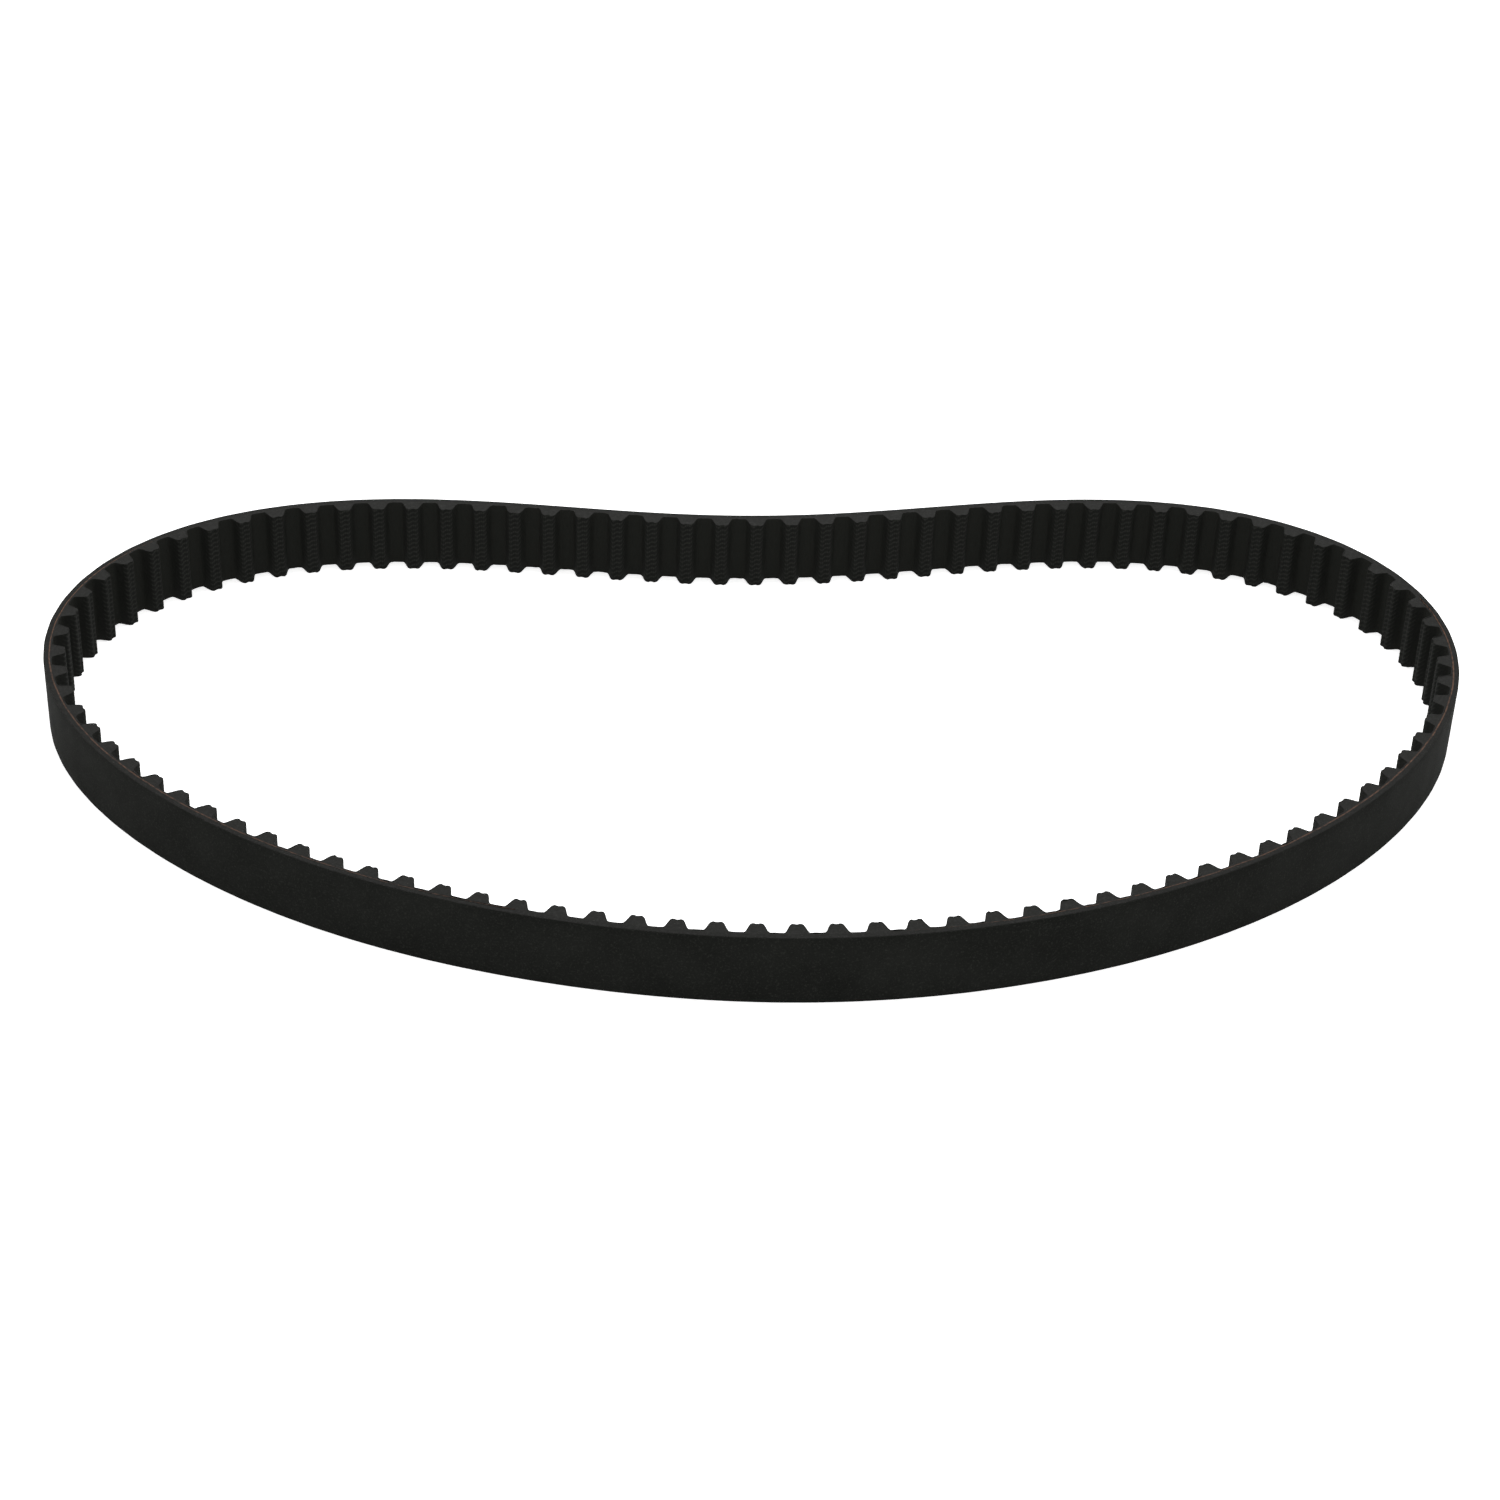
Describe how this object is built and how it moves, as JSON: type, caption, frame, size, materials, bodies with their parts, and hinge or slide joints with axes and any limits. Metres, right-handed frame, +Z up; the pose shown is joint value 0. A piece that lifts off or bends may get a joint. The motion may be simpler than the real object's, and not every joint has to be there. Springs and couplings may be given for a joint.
{
  "type": "timing belt",
  "caption": "Endless toothed rubber timing belt with grooved-crest teeth on its inside, a woven tooth facing and twisted glass cords, standing on its edge in its slack shape.",
  "frame": {"origin": "middle of the loop's outline in plan, on the surface that the belt stands on", "axes": "+X along the loop's longest direction, +Y towards the side with the inward dent, +Z up across the belt's width"},
  "size_m": [0.3692, 0.2018, 0.0195],
  "materials": {
    "backing_rubber": "matt ground black rubber, fine even grain",
    "tooth_rubber": "knife-cut black rubber, slightly paler and drier than the moulded back",
    "nylon_facing": "black woven nylon, rubber-soaked, dull with a fine rib",
    "glass_cord": "brown dipped glass-fibre cord, cut at the belt's edges"
  },
  "bodies": {
    "root": {"backing": "backing_rubber", "tooth_rubber": "tooth_rubber", "tooth_facing": "nylon_facing", "tensile_cord_s": "glass_cord", "tensile_cord_z": "glass_cord"}
  },
  "joints": []
}
